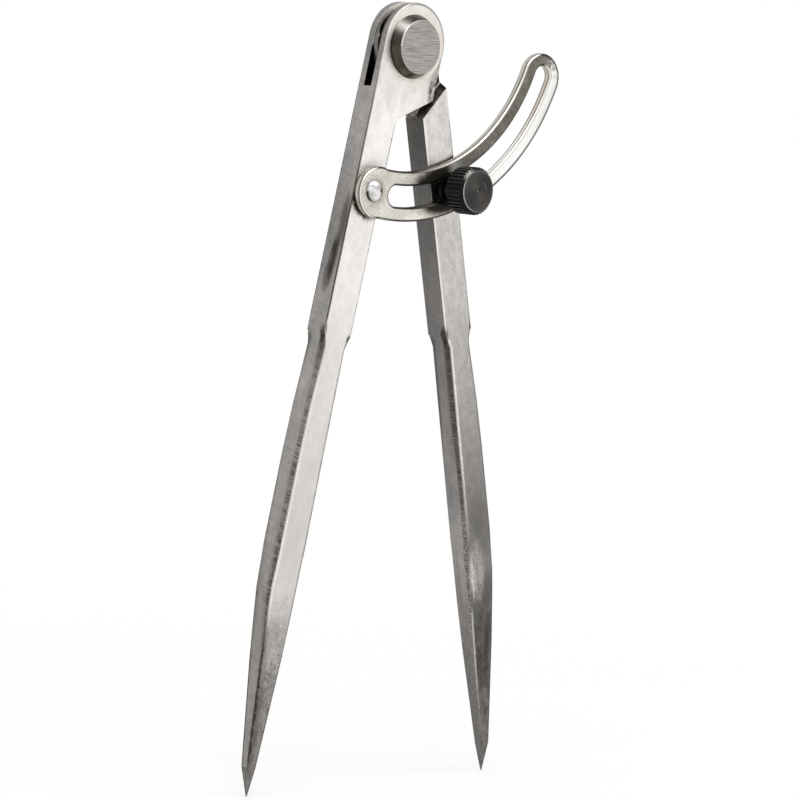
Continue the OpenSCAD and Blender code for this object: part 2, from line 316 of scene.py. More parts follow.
soft_lamp("lamp_overhead", (-0.35, -0.25, 1.15), 0.7, 4)
soft_lamp("lamp_front_right", (0.6, -0.8, 1.2), 0.9, 4)

# %% [markdown]
# ## Steel of the legs
# The legs are forged bars, ground on their wide faces. Fresh grinding is nearly
# white, the narrow edges keep a greyer mill skin, the hand-ground corners of
# the lower legs are dark with cross ticks, and use has stained the points. Much
# of each leg's tone is painted shade and painted reflection as well: the edges
# are painted darker than the faces, the right leg darker than the left, and both
# darker towards the points. All of that depends on where a spot lies along the
# leg, so the finish first works out millimetres along and across the bar. A
# colour is a wire too, a paint on which each step lays another coat.

# %% Paint
class Paint(Wire):
    """A colour that takes more coats."""

    def lay(self, amount, tint):
        self.socket = mix_colour(amount, self, tint).socket

    def shade(self, amount):
        self.socket = shade_by(self, amount).socket


def bench_of(*values):
    return next(value.bench for value in values if isinstance(value, Wire))


def mix_colour(factor, first, second, mode="MIX"):
    tints = [c if isinstance(c, Wire) else (*c, 1) for c in (first, second)]
    mixed = bench_of(factor, *tints).node(
        "ShaderNodeMix", {"data_type": "RGBA", "blend_type": mode},
        {0: factor, 6: tints[0], 7: tints[1]}, out=2)
    return Paint(mixed.bench, mixed.socket)


def shade_by(colour, amount):
    level = amount.bench.node("ShaderNodeCombineColor", {}, {0: amount, 1: amount, 2: amount})
    return mix_colour(1, colour, level, "MULTIPLY")


def grey(level, warmth=0.045):
    return (level * (1 + warmth), level, level * (1 - warmth))


print("paint ready, plain grey is", [round(part, 3) for part in grey(0.5)])

# %% [markdown]
# Wear follows places on a piece. A finish measures millimetres along a
# direction, or the distance and the turn round a point, and noise breaks up
# what would look too even. A ruler reads a level off a list of stops.

# %% Measures and noise
def place_of(x, y, z):
    return bench_of(x, y, z).node("ShaderNodeCombineXYZ", X=x, Y=y, Z=z)


def vary(level, *patterns):
    """A level that patterns push up and down, each by its own amount."""
    for amount, pattern in patterns:
        level = level + amount * (pattern - 0.5)
    return level


def noise(place, scale, detail=3, roughness=0.55):
    """Noise with its middle stretched, so that it runs from 0 to 1."""
    scales = scale if isinstance(scale, tuple) else (scale,) * 3
    vector = place_of(*(part * times for part, times in zip(place, scales)))
    plain = vector.bench.node("ShaderNodeTexNoise", {"noise_dimensions": "3D"}, Vector=vector,
                              Scale=1, Detail=detail, Roughness=roughness)
    return fade(plain, 0.28, 0.72)


def measure(bench, direction, shift=0):
    """Millimetres along a direction."""
    place = bench.node("ShaderNodeTexCoord", out="Object")
    steps = bench.node("ShaderNodeVectorMath", {"operation": "DOT_PRODUCT"},
                       {0: place, 1: tuple(Vector(direction) / MM)}, out="Value")
    return steps + shift if shift else steps


def off_centre(bench, centre):
    return measure(bench, (1, 0, 0), -centre[0]), measure(bench, (0, 0, 1), -centre[1])


def side_rise_front(bench, centre=(0, 0)):
    return (*off_centre(bench, centre), measure(bench, (0, -1, 0)))


def radius_from(bench, centre):
    side, rise = off_centre(bench, centre)
    return (side * side + rise * rise).do("SQRT")


def turn_about(bench, centre):
    """Degrees round a point, counted from X towards Z."""
    side, rise = off_centre(bench, centre)
    return rise.do("ARCTAN2", side) * math.degrees(1)


def near_turn(turn, middle, tight, wide):
    return fall((turn - middle).do("ABSOLUTE"), tight, wide)


def ruler(value, stops, tall=1):
    """Reads a height off a list of (place, height) stops, straight between them."""
    first, length = stops[0][0], stops[-1][0] - stops[0][0]
    marks = [((place - first) / length, (height / tall,) * 3) for place, height in stops]
    level = value.bench.node("ShaderNodeValToRGB", {"stops": marks}, Fac=(value - first) / length,
                             out="Color")
    return level * tall


def mask(bench, name):
    return bench.node("ShaderNodeAttribute", {"attribute_name": name}, out="Fac")


def finish_metal(colour, roughness, height, bump_mm, metallic=1, strength=0.5):
    bench = colour.bench
    normal = bench.node("ShaderNodeBump", Strength=strength, Distance=bump_mm * MM, Height=height,
                        out="Normal")
    metal = bench.node("ShaderNodeBsdfPrincipled", Base_Color=colour, Roughness=roughness,
                       Metallic=metallic, Normal=normal)
    bench.node("ShaderNodeOutputMaterial", Surface=metal)
    return bench.owner


print("measures ready")

# %% Where a spot lies on a leg
# where the flat front face ends, as (millimetres along, millimetres across)
FACE_OUT = [(0, 9.7), (73.3, 9.7), (75.2, 8.72), (76.8, 8.32), (92, 9.02), (103, 9.19),
            (125, 9.02), (137, 8.76), (150, 7.44), (181, 2.9), (188, 0.35)]
FACE_IN = [(0, 0.6), (73.3, 0.6), (75.2, 1.48), (76.8, 1.93), (131, 1.01), (150, 0.15), (188, 0.15)]
HALF_THICK = [(0, 3.2), (127, 3.2), (181, 1.05), (188, 0.1)]


def leg_maps(bench, along_way, across_way, is_fork, stops):
    """Measures, marked faces and wear patterns; tone reads a list of stops."""
    along, across = measure(bench, along_way), measure(bench, across_way)
    depth = measure(bench, (0, 1, 0))
    on_face, on_corner = mask(bench, "ground_face"), mask(bench, "corner")
    to_out = ruler(along, FACE_OUT, 10) - across
    to_in = across - ruler(along, FACE_IN, 10)

    def pattern(run, wide, detail=3, roughness=0.6):
        return noise((along, across, depth), (run, wide, wide), detail, roughness)

    return SimpleNamespace(
        bench=bench, along=along, across=across, depth=depth, to_out=to_out,
        to_left=to_out if is_fork else to_in, to_right=to_in if is_fork else to_out,
        thick=ruler(along, HALF_THICK, 4), near_front=depth.do("ABSOLUTE"),
        on_face=on_face, on_corner=on_corner, on_edge=(1 - on_face) * (1 - on_corner),
        front_face=on_face * fade(depth * -1, 1, 2),
        points=fade(along, 132, 156), crumbs=fade(along, 112, 132),
        clouds=pattern(0.09, 0.2, 4, 0.55), mottle=pattern(0.45, 0.6),
        grain=pattern(0.22, 2.4), specks=pattern(2.3, 2.3, 4, 0.7), patches=pattern(0.2, 0.35),
        ticks=noise((along * 2.2 + depth * 0.6, across, 0), (1, 0.15, 1), 3, 0.75),
        tone=lambda name: ruler(along, stops[name]))


print("the front face is listed at", len(FACE_OUT) + len(FACE_IN), "places")

# %% [markdown]
# The bare steel comes first. Faces, edges and corners each have a list of how
# bright they are along the leg, painted shade and reflection included, and
# patterns of noise vary it.

# %% Bare steel
def bare_steel(leg, streaks, blotch):
    """The colour before use, with painted shade and reflection in its tones, and the colour of the
    rough corners.
    """
    points, clouds, mottle, specks = leg.points, leg.clouds, leg.mottle, leg.specks
    face_wear = vary(1, (0.12, clouds), (blotch, mottle), (streaks, leg.grain),
                     (0.8 * blotch + 0.75 * points, specks), (points * 0.35, mottle),
                     (0.14 * fall(leg.along, 16, 32) + 0.4 * points, leg.patches))
    edge_wear = vary(1, (0.3, clouds), (0.2, mottle), (0.1, leg.grain), (0.18, leg.ticks),
                     (0.3 + 0.3 * points, specks))
    inside = mask(leg.bench, "inner_edge")
    # the edges read darker stops than the faces: mill skin and painted shade
    edge_tone = leg.tone("outer") * (1 - inside) + leg.tone("inner") * inside
    ground = mix_colour(points * leg.patches, grey(1), grey(1, 0.085))
    ground.shade(leg.tone("faces") * face_wear)
    skin = mix_colour(clouds, grey(1, 0.015), grey(1, 0.085))
    skin.shade(edge_tone * edge_wear)
    crumbled = 0.75 - 0.5 * leg.crumbs + (0.5 + 1.1 * leg.crumbs) * specks
    corner = shade_by(grey(1, 0.09), leg.tone("corner") * (0.4 + 1.2 * leg.ticks) * crumbled)
    return mix_colour(leg.on_face, skin, ground), corner


print("bare steel defined")

# %% [markdown]
# Then come lines. Where a face turns into an edge, a painted highlight line runs
# along it, or a dark line of dirt and painted shade; a painted shadow line runs
# along the face's other side, and the grinding of the corners overruns on both
# sides in ragged ticks.

# %% Lines of dirt and painted light, and ground corners
def wear_lines(leg, colour, corner):
    """Lays the lines on the colour, and says where the corner was ground."""
    along, mottle, specks, ticks = leg.along, leg.mottle, leg.specks, leg.ticks

    def beside(distance, low, high):
        return leg.on_face * fall(vary(distance, (0.3, specks)), low, high)

    shadow_line = beside(leg.to_right, 0.12, 0.55) * fade(along, 19, 21)
    colour.lay(shadow_line * (0.5 + 0.4 * mottle), grey(0.1))
    # a dark line along the left border and the edge's front corner: dirt and painted shade
    dark_width = 0.46 + 0.3 * fade(along, 138, 152)
    dirt_and_shade_line = (beside(vary(leg.to_left / dark_width, (0.9 * leg.points, mottle)), 0.3, 1)
                 + leg.on_edge * fall(vary(leg.thick - leg.near_front, (0.2, specks)), 0.25, 0.45))
    dirt_and_shade_line = dirt_and_shade_line * leg.tone("dark") * (0.75 + 0.25 * specks)
    colour.lay(dirt_and_shade_line, STAIN_AND_SHADE)
    past_band = vary(leg.near_front / leg.thick - leg.tone("band"),
                     (0.16 + 0.75 * leg.crumbs, specks), (0.22, ticks))
    overrun = leg.on_edge * 0.9 * fade(past_band, -0.08, 0.08)
    bites = leg.on_face * 0.6 * fall(leg.to_left + 0.1 - 0.3 * ticks, 0, 0.2)
    lower = fade(vary(along, (3, specks)), NECK - 2.5, NECK + 0.5) * fall(along, 144, 164)
    ground_off = lower * (leg.on_corner + overrun + bites)
    colour.lay(ground_off, corner)
    # a painted highlight line along the left border
    highlight_line = beside(leg.to_left, 0.35, 0.85) * (1 - dirt_and_shade_line) * (1 - lower * bites)
    colour.lay(highlight_line * leg.tone("bright") * (0.7 + 0.3 * mottle), grey(0.92))
    return ground_off


print("worn lines defined")

# %% [markdown]
# Stains, painted shade and painted highlights are ovals with ragged borders.
# They lie on the front face, on an edge, or along the rim, and a list says where.

# %% Stains, painted shade and painted highlights
# dark ovals are stains and painted shade, pale ones painted highlights
STAIN_AND_SHADE, PAINTED_HIGHLIGHT = (0.03, 0.025, 0.021), grey(0.75)


def spot(values, centre, half):
    far = [(value - middle) / reach for value, middle, reach in zip(values, centre, half)]
    return fall(far[0] * far[0] + far[1] * far[1], 0.1, 1)


def stain(leg, colour, stains_and_shade, highlights):
    grain, mottle, specks = leg.grain, leg.mottle, leg.specks
    blotted = 0.3 + 0.7 * fade(0.35 * grain + 0.3 * mottle + 0.35 * specks, 0.3, 0.62)
    drawn_out = 0.7 + 0.3 * fade(0.6 * grain + 0.25 * leg.clouds + 0.15 * specks, 0.25, 0.6)
    ragged = leg.on_face * blotted + (1 - leg.on_face) * drawn_out
    beyond = {"edge": leg.depth, "face": leg.across, "rim": leg.to_out}
    for tint, marks in ((STAIN_AND_SHADE, stains_and_shade), (PAINTED_HIGHLIGHT, highlights)):
        for where, centre, half, strength in marks:
            surface = leg.on_edge if where == "edge" else leg.on_face
            smear = spot((leg.along, beyond[where]), centre, half) * ragged * surface * strength
            colour.lay(smear, tint)


print("stains defined")

# %% [markdown]
# The heads differ. The fork's cheek holds grime round the rivet and the wing's
# eye, with a painted shadow at the eye's lower left, and its right rim is
# painted darker as shade. The tongue has a shoulder painted brown as shade with
# a painted highlight along its edge, a painted shadow along the wing, and a
# painted dark gap where it goes in between the cheeks. Inside the slot the
# walls of both legs are painted dark as shade.

# %% Heads of the legs
HEAD_CENTRE, HEAD_RADIUS = (0.47, 0.66), 10.1
# grime round the wing's eye and the rivet, with a painted shadow at the eye's lower left: centre,
# middle turn, spread, radii, strength
GRIME_AND_SHADOW_RINGS = [(EYE, -138, 66, 6.5, 7.6, 0.95), (EYE, 118, 60, 6.2, 9.2, 0.32),
         ((0, 0), -95, 85, 7.8, 9.2, 0.4)]


# slot walls: lighter near the top, painted dark deeper in as shade
def hidden_steel(leg):
    return mix_colour(fade(leg.along, 1.2, 2.6), grey(0.8), grey(0.01, 0.1))


def fork_head(leg, colour):
    bench = leg.bench
    rim = fade(radius_from(bench, HEAD_CENTRE), HEAD_RADIUS - 0.75, HEAD_RADIUS - 0.3)
    # painted shade along the head's rounded right rim
    right_rim_shade = rim * leg.on_face * fall(leg.across, 2, 6) * fall(leg.along, 2, 9)
    colour.lay(right_rim_shade * 0.7, grey(0.12))
    # grime round the eye and the rivet, and a painted shadow at the eye's lower left
    for centre, middle, wide, low, high, strength in GRIME_AND_SHADOW_RINGS:
        away = vary(radius_from(bench, centre), (0.5, leg.mottle), (0.9, leg.specks))
        grime = (fall(away, low, high) * strength
                 * near_turn(turn_about(bench, centre), middle, wide * 0.4, wide))
        colour.lay(grime * leg.front_face, STAIN_AND_SHADE)
    halo = fall(vary(radius_from(bench, (0, 0)), (1.5, leg.clouds)), 8, 10.5) * 0.4
    colour.lay(halo * leg.on_face * (1 - fade(leg.across, 0, 8) * 0.5), (0.8, 0.72, 0.58))
    colour.lay(mask(bench, "slot_wall"), hidden_steel(leg))


def tongue_head(leg, colour):
    bench, along, depth, mottle = leg.bench, leg.along, leg.depth, leg.mottle
    # the shoulder is painted brown as shade, and its edge gets a painted highlight
    brown = shade_by((0.11, 0.09, 0.072), (0.3 + 0.9 * mottle + 0.5 * leg.specks)
                     * (0.9 - 0.75 * fade(leg.across, 7.6, 9.2)))
    # a painted shadow of the wing along its edge
    wing_edge = ARC_RADIUS - WING_WIDTH / 2
    wing_shadow = near_turn(radius_from(bench, ARC_CENTRE), wing_edge, 0.15, 0.75)
    colour.lay(wing_shadow * leg.front_face * (0.55 + 0.35 * mottle), STAIN_AND_SHADE)
    lip = fade(depth, -1.35, -1.15) * (1 - near_turn(along, 15.2, 0.6, 1.6))
    colour.lay(mask(bench, "shoulder"), mix_colour(lip, brown, grey(0.55, 0.06)))
    # painted shade in the slot, lighter low down where the blade shows
    slot_shade = hidden_steel(leg)
    slot_shade.lay(fade(along, 15, 18.5), grey(0.45, 0.1))
    colour.lay(mask(bench, "slot_wall"), slot_shade)
    # a painted dark gap between the tongue's rim and the front cheek
    hollow = near_turn(turn_about(bench, (0, 0)), 142, 2, 30) * 0.75 - 0.4 - depth
    colour.lay(fade(hollow, 0, 0.14) * fall(along, 1, 3), grey(0.012, 0.1))


print("heads defined, with", len(GRIME_AND_SHADOW_RINGS), "rings of grime")

# %% [markdown]
# Both legs take the same coats in the same order. Only the lists differ: stops
# of brightness as (millimetres along, level), and ovals as place, half size and
# strength. The stops of faces and edges hold painted shade and reflection, the
# bright stops a painted highlight line, and the dark stops a line of dirt and
# painted shade.

# %% Two leg finishes
def leg_steel(name, along_way, across_way, dress_head, streaks, blotch, stains_and_shade, highlights, **stops):
    leg = leg_maps(new_finish(name), along_way, across_way, dress_head is fork_head, stops)
    colour, corner = bare_steel(leg, streaks, blotch)
    ground_off = wear_lines(leg, colour, corner)
    stain(leg, colour, stains_and_shade, highlights)
    dress_head(leg, colour)
    roughness = (vary(0.34, (0.1, leg.clouds), (0.1, leg.mottle)) + 0.16 * leg.on_corner
                 + 0.1 * (1 - leg.on_face) + 0.1 * leg.points)
    height = (0.4 * leg.grain * leg.on_face + 0.3 * leg.mottle + 0.4 * leg.specks
              + leg.ticks * ground_off)
    return finish_metal(colour, roughness, height, 0.02)


# the tone stops below hold painted shade and reflection as well as the steel's own tone
fork_steel = leg_steel(
    "fork_leg_steel", FORK_ALONG, FORK_ACROSS, fork_head,
    faces=[(-12, 0.82), (10, 0.82), (22, 0.92), (50, 0.88), (62, 0.83), (83, 0.745), (101, 0.69),
           (121, 0.64), (136, 0.66), (151, 0.42), (165, 0.25), (178, 0.23), (188, 0.26)],
    outer=[(-12, 0.22), (4, 0.25), (18, 0.36), (33, 0.3), (46, 0.22), (66, 0.3), (84, 0.31),
           (121, 0.32), (141, 0.26), (161, 0.29), (181, 0.29), (188, 0.38)],
    inner=[(-12, 0.1), (10, 0.12), (14, 0.24), (19, 0.3), (22, 0.12), (150, 0.18), (188, 0.18)],
    corner=[(70, 0.05), (77, 0.12), (84, 0.21), (104, 0.2), (120, 0.17), (136, 0.15), (155, 0.09)],
    band=[(70, 0.45), (79, 0.48), (84, 0.6), (100, 0.62), (108, 0.56), (140, 0.52), (155, 0.8)],
    streaks=0.03, blotch=0.1,
    bright=[(16, 0), (22, 0.4), (70, 0.4), (73, 0), (82, 0), (88, 0.8), (112, 0.8), (120, 1),
            (138, 1), (150, 0)],
    dark=[(6, 0), (16, 0.75), (34, 1), (70, 1), (73, 0), (138, 0), (152, 1), (178, 1), (183, 0)],
    stains_and_shade=[("edge", (55, -0.7), (7, 1.7), 0.95), ("edge", (46.5, -1.7), (9, 1.5), 0.65),
             ("edge", (60, -0.1), (5, 1.9), 0.65), ("edge", (74.5, -2.6), (3.4, 1.5), 0.9),
             ("edge", (-4.6, -1.2), (5, 0.9), 1),
             ("face", (149, 5.6), (6, 3.4), 0.2),
             ("face", (8.6, -9.4), (4.8, 2.2), 0.95), ("face", (73.2, 9.5), (2.5, 0.8), 0.6),
             ("face", (74.6, 1.3), (2.2, 1), 0.95),
             ("rim", (168, 0.4), (24, 2.4), 0.5)],
    highlights=[("edge", (84, 0.4), (7, 1.8), 0.12)])
tongue_steel = leg_steel(
    "tongue_leg_steel", TONGUE_ALONG, TONGUE_ACROSS, tongue_head,
    faces=[(-12, 0.6), (20, 0.69), (53, 0.57), (66, 0.525), (86, 0.42), (103, 0.3), (118, 0.21),
           (127, 0.18), (136, 0.22), (144, 0.15), (152, 0.105), (171, 0.135), (188, 0.16)],
    outer=[(-12, 0.6), (2, 0.6), (6, 0.28), (16, 0.26), (75, 0.28), (150, 0.3), (188, 0.26)],
    inner=[(-12, 0.2), (2, 0.18), (6, 0.075), (23, 0.09), (51, 0.145), (66, 0.18), (86, 0.205),
           (112, 0.25), (124, 0.29), (138, 0.235), (161, 0.2), (188, 0.18)],
    corner=[(70, 0.05), (78, 0.1), (100, 0.105), (112, 0.13), (122, 0.21), (155, 0.23)],
    band=[(70, 0.44), (96, 0.48), (107, 0.7), (116, 0.85), (155, 0.95)],
    streaks=0.07, blotch=0.24,
    bright=[(17, 0), (19, 0.9), (104, 1), (114, 0.6), (122, 0.3), (129, 0), (144, 0),
            (148, 0.6), (158, 0.5), (170, 0.15), (178, 0)],
    dark=[(0, 0), (188, 0)],
    stains_and_shade=[("face", (121, 5.2), (7, 3), 0.25), ("rim", (156, 1.9), (12, 1.3), 0.7),
             ("rim", (141, 2), (6, 2.4), 0.5), ("face", (161, 1.7), (8, 1.4), 0.55),
             ("face", (149, 3.4), (5, 1.6), 0.3), ("edge", (74, -2.6), (3.6, 1.6), 0.95),
             ("face", (73.5, 0.9), (3, 0.9), 0.8), ("rim", (73.2, 0.2), (2.2, 0.7), 0.9)],
    highlights=[("face", (135, 3.3), (9.5, 3.2), 0.36), ("face", (137, 1.7), (7, 1), 0.6),
            ("edge", (136, -1), (12, 1.8), 0.15)])
print("finishes:", fork_steel.name, tongue_steel.name)

# %% [markdown]
# ## The two legs
# The CAD legs have the right shape but knife-sharp corners, and steel that has
# been handled never does. A copy of each leg is welded, a small bevel is laid
# along its edges, and every face is marked as ground face, corner or inner
# edge, so that the finish above knows where it is.

# %% Soften a CAD solid
EDGE_BREAK = 0.22 * MM
SEAM_GAP, SLIVER = 0.13 * MM, 1e-6   # metres: fine seams to close, edges to drop
POINT_LENGTH = 9                     # millimetres: the point keeps its fine facets
WIDE_FACE = 20 * MM * MM
UPPER_PART = -0.1                    # metres: the fine seams lie above this height
NECK_BAND = (-76, -69)               # millimetres: heights of the neck's start
FLUSH = radians(0.4)                 # faces this close to flat become one


def welded_copy(node):
    shape = bmesh.new()
    shape.from_mesh(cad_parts[node].data)
    bmesh.ops.remove_doubles(shape, verts=shape.verts, dist=WELD_GAP)
    upper = [v for v in shape.verts if v.co.z > UPPER_PART]
    bmesh.ops.remove_doubles(shape, verts=upper, dist=SEAM_GAP)
    bmesh.ops.dissolve_degenerate(shape, dist=SLIVER, edges=shape.edges)
    bmesh.ops.dissolve_limit(shape, angle_limit=FLUSH, verts=shape.verts, edges=shape.edges)
    return shape


def crosses_neck(edge):
    """The shallow corners that run from front to back where the neck's hollow starts."""
    first, second = (v.co for v in edge.verts)
    height = (first.z + second.z) / 2 / MM
    return abs(first.y - second.y) > 2 * MM and NECK_BAND[0] < height < NECK_BAND[1]


def break_edges(shape, width, least_degrees=24):
    """Bevels the long corners; the fine facets at the point stay as ground."""
    low_end = -(LEG_LENGTH - POINT_LENGTH) * cos(HALF_OPEN) * MM
    sharp = [edge for edge in shape.edges if len(edge.link_faces) == 2
             and edge.calc_face_angle() > radians(least_degrees)
             and min(v.co.z for v in edge.verts) > low_end and not crosses_neck(edge)]
    bmesh.ops.bevel(shape, geom=sharp, offset=width, offset_type="OFFSET", segments=2,
                    profile=0.5, affect="EDGES", clamp_overlap=False)
    for vert in shape.verts:
        vert.co.y = min(max(vert.co.y, -BAR_HALF * MM), BAR_HALF * MM)
    bmesh.ops.dissolve_degenerate(shape, dist=SLIVER, edges=shape.edges)


def smooth_shaded(shape, name, sharp_degrees=16):
    """Smooths the shading over shallow angles, but never across the border of a wide flat face."""
    shape.normal_update()
    for face in shape.faces:
        face.smooth = True
    for edge in shape.edges:
        wide = max((face.calc_area() for face in edge.link_faces), default=0) > WIDE_FACE
        limit = 1 if wide else sharp_degrees
        edge.smooth = edge.calc_face_angle(0) < radians(limit)
    mesh = bpy.data.meshes.new(name)
    shape.to_mesh(mesh)
    shape.free()
    return mesh


def open_edges(mesh):
    test = bmesh.new()
    test.from_mesh(mesh)
    count = sum(1 for edge in test.edges if len(edge.link_faces) != 2)
    test.free()
    return count


print("edge break of", round(EDGE_BREAK / MM, 2), "mm")

# %% Mark the faces and place the legs
SLOT_HALF = 1.25                     # half the fork's slot, with a little room
FLAT = 0.77                          # a face that looks this much to the front is ground


def ramp_between(value, low, high):
    return min(max((value - low) / (high - low), 0), 1)


def mark_faces(mesh, rule, *given):
    """Keeps what the rule says of each face as numbers that a finish can read."""
    rows = [rule(face, *given) for face in mesh.polygons]
    for name in rows[0]:
        values = [float(row[name]) for row in rows]
        mesh.attributes.new(name, "FLOAT", "FACE").data.foreach_set("value", values)


def leg_marks(face, vertices, along_way, across_way, is_fork):
    """Limits are how much a face looks to the front, and millimetres along and across."""
    flatness, sideways = abs(face.normal.y), face.normal.dot(across_way)
    along, across = (face.center.dot(way) / MM for way in (along_way, across_way))
    reach = max(abs(vertices[v].co.y) for v in face.vertices) / MM
    inside = reach < SLOT_HALF + 0.1 and along < 30
    slot_shade = inside and (flatness > 0.985 or is_fork and along > 4)
    facing_up = face.normal.dot(along_way) < -0.35 and 5 < along < 25
    under_nose = is_fork and along > 8 and across < 2 and flatness < 0.5
    return {"ground_face": flatness >= FLAT and not inside,
            "corner": 0.25 < flatness < FLAT and along > NECK - 3,
            "inner_edge": sideways < -0.2 or under_nose,
            "slot_wall": 1 if slot_shade else 0.35 if inside and flatness > 0.5 else 0,
            "shoulder": facing_up and not is_fork and flatness < 0.9}


def place_piece(mesh, material, body, node):
    """Makes a piece with its mesh's name; a node is the CAD solid that it replaces."""
    mesh.materials.clear()
    mesh.materials.append(material)
    piece = new_mesh_object(mesh.name, mesh)
    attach(piece, body)
    if node:
        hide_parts(node)
    print(mesh.name, len(mesh.polygons), "faces,", open_edges(mesh), "open edges")


for node, body, along_way, across_way, material in (
        ("fork_leg", "fork", FORK_ALONG, FORK_ACROSS, fork_steel),
        ("tongue_leg", "tongue", TONGUE_ALONG, TONGUE_ACROSS, tongue_steel)):
    shape = welded_copy(node)
    break_edges(shape, EDGE_BREAK)
    leg_mesh = smooth_shaded(shape, node + "_dressed")
    mark_faces(leg_mesh, leg_marks, leg_mesh.vertices, along_way, across_way, node == "fork_leg")
    place_piece(leg_mesh, material, body, node)

# %% [markdown]
# ## Turned pieces
# Rivets, washer and screw are all round, so each is a profile spun about its
# axis like work in a lathe. The profile lists radius and front in millimetres.
# Real turned corners are never sharp: each listed corner is rounded by a small
# arc before the spin.

# %% The lathe
SPIN_STEPS, FEWER_STEPS = 96, 64     # for large and for small pieces


def rounded(profile, radius, steps=4):
    path = [Vector(p) for p in profile]
    smooth = [path[0]]
    for before, corner, after in zip(path, path[1:], path[2:]):
        back, ahead = before - corner, after - corner
        reach = min(radius, 0.45 * back.length, 0.45 * ahead.length)
        start, end = corner + back.normalized() * reach, corner + ahead.normalized() * reach
        for step in range(steps + 1):
            t = step / steps
            smooth.append((1 - t) ** 2 * start + 2 * t * (1 - t) * corner + t * t * end)
    return smooth + [path[-1]]


def turned(name, profile, centre, steps=SPIN_STEPS, closed=False):
    shape = bmesh.new()
    rings = []
    for radius, front in profile:
        turns = 1 if radius < 1e-6 else steps
        rings.append([shape.verts.new((
            (centre[0] + radius * cos(tau * k / steps)) * MM, -front * MM,
            (centre[1] + radius * sin(tau * k / steps)) * MM)) for k in range(turns)])
    pairs = list(zip(rings, rings[1:])) + ([(rings[-1], rings[0])] if closed else [])
    for low, high in pairs:
        for k in range(steps):
            corners = [low[k % len(low)], low[(k + 1) % len(low)],
                       high[(k + 1) % len(high)], high[k % len(high)]]
            shape.faces.new(list(dict.fromkeys(corners)))
    bmesh.ops.recalc_face_normals(shape, faces=shape.faces)
    return smooth_shaded(shape, name, 24)


print("lathe with", SPIN_STEPS, "steps")

# %% [markdown]
# ## The pivot rivet
# The head's rivet is a turned steel button: a dark cone with a flat face that
# was rubbed on emery paper, so its scratches run straight across, and a rim
# polished by hands. The cone's darkness is painted reflection, with painted shade
# on its top, painted light below, a painted shadow at its base and a painted
# highlight at its upper left, and the rim is brighter on the left as a painted
# highlight. Its far end is closed flush in a countersink.

# %% Rivet finish and piece
def rivet_steel():
    bench = new_finish("pivot_rivet_steel")
    where = side_rise_front(bench)
    front = where[2]
    radius, turn = radius_from(bench, (0, 0)), turn_about(bench, (0, 0))
    rubbing = noise(where, (0.18, 4.4, 0.5), 3, 0.65)
    clouds = noise(where, 0.25)
    turning = noise((radius, front, 0), 6, 2)
    far_end = fall(front, -3.1, -2)
    on_face = fade(front, 5.68, 5.76) + far_end
    rim = fade(radius, 6.38, 6.5) * fade(front, 5.55, 5.7)
    face = mix_colour(rubbing, grey(0.22, 0.08), grey(0.52, 0.06))
    # the cone is painted dark as reflection
    cone = mix_colour(clouds, grey(0.03, 0.2), grey(0.075, 0.18))
    # painted shade on the cone's top and painted light below
    cone.shade(1 - 0.7 * near_turn(turn, 82, 18, 40) + 0.9 * near_turn(turn, -95, 15, 50))
    # a painted shadow where the cone meets the cheek
    cone.lay(0.85 * fall(front, 3.3, 3.8), (0.012, 0.008, 0.006))
    # a painted highlight at the cone's upper left
    cone_highlight = near_turn(turn, 134, 0, 26) * (0.5 + 0.5 * turning)
    cone.lay(cone_highlight, grey(0.36, 0.05))
    colour = mix_colour(on_face, cone, face)
    # the rim is worn bright all round and brighter on the left as a painted highlight
    rim_wear_and_highlight = rim * (0.25 + 0.75 * near_turn(turn, 172, 10, 75))
    colour.lay(rim_wear_and_highlight, grey(0.75))
    roughness = vary(0.3, (0.12, clouds)) + 0.12 * on_face
    height = on_face * rubbing + (1 - on_face) * turning * 0.5
    return finish_metal(colour, roughness, height, 0.015)


PIVOT_PROFILE = [(0, -3.2), (3.7, -3.2), (2.5, -2), (2.5, 3.2), (7.95, 3.2), (6.6, 5.8), (0, 5.8)]
place_piece(turned("pivot_rivet_turned", rounded(PIVOT_PROFILE, 0.16), (0, 0)),
            rivet_steel(), "fork", "pivot_rivet")

# %% [markdown]
# ## Friction shims
# Two thin brass washers sit between the tongue and the fork's cheeks and keep
# the legs from slopping. They are plain discs, so the CAD solids stay, with a
# rolled brass finish: long faint roll marks and dull brown stains.

# %% Brass for the shims
def rolled_brass():
    bench = new_finish("rolled_brass")
    where = side_rise_front(bench)
    rolling = noise(where, (4, 0.2, -1), 3, 0.6)
    stain = noise(where, (0.4, 0.4, -1), 4)
    colour = mix_colour(fade(stain, 0.42, 0.7), (0.68, 0.52, 0.24), (0.32, 0.21, 0.1))
    rim = fade(radius_from(bench, (0, 0)), 6.5, 8)
    colour.lay(rim * 0.9, (0.035, 0.027, 0.018))
    return finish_metal(shade_by(colour, 0.85 + 0.3 * rolling), 0.3 + 0.25 * stain, rolling, 0.01)


brass = rolled_brass()
for node in ("front_shim", "rear_shim"):
    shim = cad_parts[node]
    shim.data.materials.clear()
    shim.data.materials.append(brass)
print("brass on", node, "and its twin")

# %% [markdown]
# ## The wing, from a rule
# The wing is a flat band bent round one centre, with a round eye at the rivet
# and a slot for the screw. That is a rule, so Geometry Nodes draws it: arcs make
# the outline, the slot and the rivet's hole, Fill Curve makes one flat face with
# holes, and Extrude gives the thickness. A Bevel then rounds the stamped edges.

# %% Growing from a rule
KINDS = {int: "NodeSocketInt", float: "NodeSocketFloat", bpy.types.Material: "NodeSocketMaterial"}


